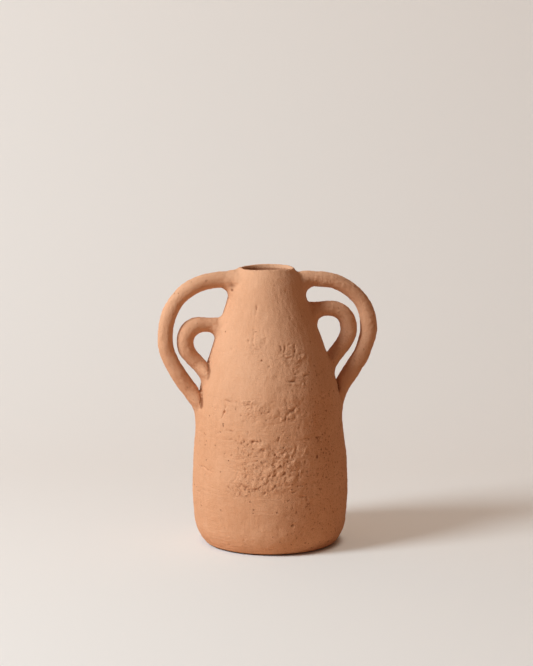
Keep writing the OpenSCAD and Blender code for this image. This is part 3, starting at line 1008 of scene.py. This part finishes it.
def makeGrainGroup():
    inputs = [("Sand", valueSocket, 1.0), ("Scrapes", valueSocket, 0.5), ("Torn", valueSocket, 0.0)]
    tree, start, end = newGroup("sandGrain", inputs, [("Height", valueSocket), ("Roughness", valueSocket)])
    coords = addNode(tree, "ShaderNodeTexCoord").outputs["Object"]
    grains = noiseNode(tree, coords, 1100, 3, 0.65)
    level = noiseNode(tree, stretched(tree, coords, (50, 50, 600)), 1, 3, 0.6)
    upright = noiseNode(tree, stretched(tree, coords, (420, 420, 36)), 1, 3, 0.6)
    chips = noiseNode(tree, coords, 420, 4, 0.7)
    turned = rangeNode(tree, noiseNode(tree, coords, 24, 2, 0.5), 0.44, 0.56)  # one direction at each place
    strokes = mathNode(tree, "MULTIPLY_ADD", mathNode(tree, "SUBTRACT", upright, level), turned, level)
    scrapes = mathNode(tree, "MULTIPLY", strokes, start.outputs["Scrapes"])
    height = mathNode(tree, "MULTIPLY_ADD", grains, start.outputs["Sand"], scrapes)
    chips = mathNode(tree, "MULTIPLY", chips, start.outputs["Torn"])
    height = mathNode(tree, "MULTIPLY_ADD", chips, 1.6, height)
    feed(tree, end, {"Height": height, "Roughness": rangeNode(tree, grains, 0.3, 0.7, 0.78, 0.95)})
    return tree


mottleGroup = makeMottleGroup()
pinHoleGroup = makePinHoleGroup()
grainGroup = makeGrainGroup()

wallClay = {"pale": (0.71, 0.412, 0.255, 1), "deep": (0.62, 0.325, 0.18, 1), "spread": 0.9, "bloom": 0.3,
            "sand": 1.4, "scrapes": 1.0, "holes": 0.2, "bump": 0.9}
handleClay = {"pale": (0.71, 0.415, 0.262, 1), "deep": (0.63, 0.33, 0.185, 1), "spread": 0.8, "bloom": 0.15,
              "sand": 1.7, "scrapes": 0.8, "holes": 0.06, "bump": 0.95}
# The inside's clay is darker than the outside's: painted shade inside the vase
shadedInsideClay = {"pale": (0.46, 0.225, 0.125, 1), "deep": (0.36, 0.16, 0.085, 1), "spread": 0.9, "bloom": 0.0,
              "sand": 1.3, "scrapes": 1.2, "holes": 0.5, "bump": 0.7}
grainReach = 0.4 * mm  # what a full step of the grain stands for
shadedInsideReach = 2.5  # depth of wall that takes the inside's darker clay: painted shade


def makeClay(name, clay):
    material = bpy.data.materials.new(name)
    material.use_nodes = True
    tree = material.node_tree
    shader = tree.nodes["Principled BSDF"]
    hollow, torn = [addNode(tree, "ShaderNodeAttribute", attribute_name=label).outputs["Fac"]
                    for label in ("hollow", "torn")]
    tones = {"Pale": clay["pale"], "Deep": clay["deep"], "Spread": clay["spread"], "Bloom": clay["bloom"]}
    mottle = addNode(tree, "ShaderNodeGroup", {**tones, "Grit": torn}, node_tree=mottleGroup)
    holes = addNode(tree, "ShaderNodeGroup", {"Share": clay["holes"]}, node_tree=pinHoleGroup)
    holeMask = holes.outputs["Mask"]
    strokes = {"Sand": clay["sand"], "Scrapes": clay["scrapes"], "Torn": torn}
    grain = addNode(tree, "ShaderNodeGroup", strokes, node_tree=grainGroup)
    # painted shade in the hollows and in the pin holes
    shadeShare = rangeNode(tree, hollow, 0.12, 0.9, 0.0, 0.8)
    shadeShare = mathNode(tree, "MAXIMUM", shadeShare, mathNode(tree, "MULTIPLY", holeMask, pinHoles["shadeShare"]))
    holeDepth = mathNode(tree, "MULTIPLY", holeMask, pinHoles["depth"])
    height = mathNode(tree, "SUBTRACT", grain.outputs["Height"], holeDepth)
    relief = addNode(tree, "ShaderNodeBump", {"Strength": clay["bump"], "Distance": grainReach,
                                              "Height": height})
    feed(tree, shader, {"Base Color": mixNode(tree, shadeShare, mottle.outputs["Color"], clayTones["hollow"]),
                        "Roughness": grain.outputs["Roughness"], "Normal": relief.outputs["Normal"],
                        "Specular IOR Level": 0.25})
    return material


clays = {"wall": makeClay("wall_terracotta", wallClay), "handle": makeClay("handle_terracotta", handleClay),
         "inside": makeClay("inside_terracotta_painted_shade", shadedInsideClay)}
handleNodes = [handle["node"] for handle in handles]


def dressPiece(node, piece):
    kind = "handle" if node in handleNodes else "inside" if node == "corner_coil" else "wall"
    piece.data.materials.clear()
    piece.data.materials.append(clays[kind])
    if kind == "wall" and node != "base_slab":
        piece.data.materials.append(clays["inside"])
        centre = np.empty(len(piece.data.polygons) * 3, np.float32)
        piece.data.polygons.foreach_get("center", centre)
        centre = centre.reshape(-1, 3) / mm
        reach = np.linalg.norm((centre - axisShift(centre))[:, :2], axis=1)
        # faces inside the wall get the darker clay: painted shade
        inner = (reach < cavityRadius(centre[:, 2]) + shadedInsideReach) & (centre[:, 2] < rim["mouth"][0][1])
        piece.data.polygons.foreach_set("material_index", inner.astype(np.int32))
    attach(piece, "root")
    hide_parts(node)


for node, piece in pieces.items():
    finishPiece(piece)
    dressPiece(node, piece)
print("pieces dressed")


# Floor, light and camera

studio = {
    "floorFront": -2.6, "curveStart": 0.3, "curveRadius": 0.7, "wallTop": 2.6, "halfWidth": 4.0,
    "paper": (0.72, 0.76, 0.8, 1),
    "bounce": (0.64, 0.43, 0.3, 1),  # what the clay gets back from the paper, warmer
    "bounceNear": (0.78, 0.57, 0.415, 1), "bounceEdge": (0.08, 0.16),
    "farColor": (0.74, 0.68, 0.63, 1),  # beyond the paper, in other views
    "glow": (1.0, 0.86, 0.72, 1), "glowShare": 0.26,  # part of the paper that shows as plain colour
    "contactShadeEdge": (0.06, 0.069),  # it fades close to the foot, so the paper there shows darker: painted contact shade
    "keyTurn": 62, "keyRise": 39, "keyDistance": 2.4, "keyPower": 61.3,  # turn from the camera
    "keyWide": 0.85, "keyTall": 1.1, "keyAim": 0.12,  # it points at this height on the vase
    "keyColor": (0.92, 0.95, 0.93),
    "roomColor": (0.96, 0.505, 0.25, 1), "room": 0.175, "right": 0.12,
    "sideColor": (0.86, 1.08, 1.35, 1), "side": 0.29,  # soft light from the left, as from a window wall
}


def seenDirectly(tree):
    rays = addNode(tree, "ShaderNodeLightPath")
    seen = mathNode(tree, "MAXIMUM", rays.outputs["Is Camera Ray"], rays.outputs["Is Glossy Ray"])
    return mathNode(tree, "MAXIMUM", seen, rays.outputs["Is Transmission Ray"])


def makePaper():
    paper = bpy.data.materials.new("pale_paper")
    paper.use_nodes = True
    tree = paper.node_tree
    shader = tree.nodes["Principled BSDF"]
    seen = seenDirectly(tree)
    place = addNode(tree, "ShaderNodeTexCoord").outputs["Object"]
    flat = addNode(tree, "ShaderNodeVectorMath", {0: place, 1: (1, 1, 0)}, operation="MULTIPLY")
    away = addNode(tree, "ShaderNodeVectorMath", {0: flat.outputs["Vector"]}, operation="LENGTH")
    away = away.outputs["Value"]
    edge = rangeNode(tree, away, *studio["bounceEdge"])
    bounce = mixNode(tree, edge, studio["bounceNear"], studio["bounce"])
    feed(tree, shader, {"Base Color": mixNode(tree, seen, bounce, studio["paper"]), "Roughness": 0.9,
                        "Specular IOR Level": 0.1})
    glow = addNode(tree, "ShaderNodeEmission", {"Color": studio["glow"]})
    # no plain colour close to the foot: painted contact shade on the paper
    share = rangeNode(tree, away, *studio["contactShadeEdge"], 0.0, studio["glowShare"])
    share = mathNode(tree, "MULTIPLY", seen, share)
    blend = mixShaders(tree, share, shader.outputs["BSDF"], glow.outputs["Emission"])
    behind = addNode(tree, "ShaderNodeNewGeometry").outputs["Backfacing"]  # from there the paper is clear
    clear = mixShaders(tree, behind, blend, addNode(tree, "ShaderNodeBsdfTransparent").outputs["BSDF"])
    tree.links.new(clear, tree.nodes["Material Output"].inputs["Surface"])
    return paper


def makeBackdrop():
    start, radius = studio["curveStart"], studio["curveRadius"]
    line = [(studio["floorFront"], 0.0), (start, 0.0)]
    line += [(start + radius * math.sin(a), radius - radius * math.cos(a))
             for a in np.linspace(0, math.pi / 2, 25)[1:]]
    line.append((start + radius, studio["wallTop"]))
    wide = studio["halfWidth"]
    points = [(x, y, z) for y, z in line for x in (-wide, wide)]
    faces = [(2 * k, 2 * k + 1, 2 * k + 3, 2 * k + 2) for k in range(len(line) - 1)]
    made = newObject("backdrop", points, faces)
    made.data.shade_smooth()
    made.data.materials.append(makePaper())
    made.rotation_euler.z = -math.radians(view["turn"])


def makeLight():
    turn, rise = math.radians(studio["keyTurn"] + view["turn"]), math.radians(studio["keyRise"])
    away = Vector((-math.sin(turn) * math.cos(rise), -math.cos(turn) * math.cos(rise), math.sin(rise)))
    lamp = bpy.data.lights.new("key", "AREA")
    lamp.shape = "ELLIPSE"
    lamp.size = studio["keyWide"]
    lamp.size_y = studio["keyTall"]
    lamp.energy = studio["keyPower"]
    lamp.color = studio["keyColor"]
    key = placed("key", lamp)
    key.location = Vector((0, 0, studio["keyAim"])) + away * studio["keyDistance"]
    key.rotation_euler = (-away).to_track_quat("-Z", "Y").to_euler()


def makeWorld():
    world = bpy.data.worlds.new("soft_room")
    world.use_nodes = True
    tree = world.node_tree
    facing = addNode(tree, "ShaderNodeTexCoord").outputs["Generated"]
    sideways = {0: facing, 1: (turnCos, -turnSin, 0)}
    across = addNode(tree, "ShaderNodeVectorMath", sideways, operation="DOT_PRODUCT").outputs["Value"]
    right = mathNode(tree, "MAXIMUM", across, 0.0)
    left = mathNode(tree, "MAXIMUM", mathNode(tree, "MULTIPLY", across, -1.0), 0.0)
    room = tree.nodes["Background"]
    strength = mathNode(tree, "MULTIPLY_ADD", right, studio["right"], studio["room"])
    feed(tree, room, {"Color": studio["roomColor"], "Strength": strength})
    strength = mathNode(tree, "MULTIPLY", left, studio["side"])
    side = addNode(tree, "ShaderNodeBackground", {"Color": studio["sideColor"], "Strength": strength},
                   name="side")
    both = addNode(tree, "ShaderNodeAddShader", {0: room.outputs["Background"],
                                                 1: side.outputs["Background"]})
    far = addNode(tree, "ShaderNodeBackground", {"Color": studio["farColor"]}, name="far")
    blend = mixShaders(tree, seenDirectly(tree), both.outputs["Shader"], far.outputs["Background"])
    tree.links.new(blend, tree.nodes["World Output"].inputs["Surface"])
    bpy.context.scene.world = world


def makeCamera():
    lens = bpy.data.cameras.new("camera")
    lens.lens = view["lens"]
    lens.sensor_width = view["sensor"]
    camera = placed("camera", lens)
    camera.location = (view["across"] * turnCos - view["distance"] * turnSin,
                       -view["across"] * turnSin - view["distance"] * turnCos, view["height"])
    camera.rotation_euler = (math.radians(90 - view["lookDown"]), 0, -math.radians(view["turn"]))
    bpy.context.scene.camera = camera


makeBackdrop()
makeLight()
makeWorld()
makeCamera()
bpy.context.scene.view_settings.view_transform = "Standard"
print("studio ready")
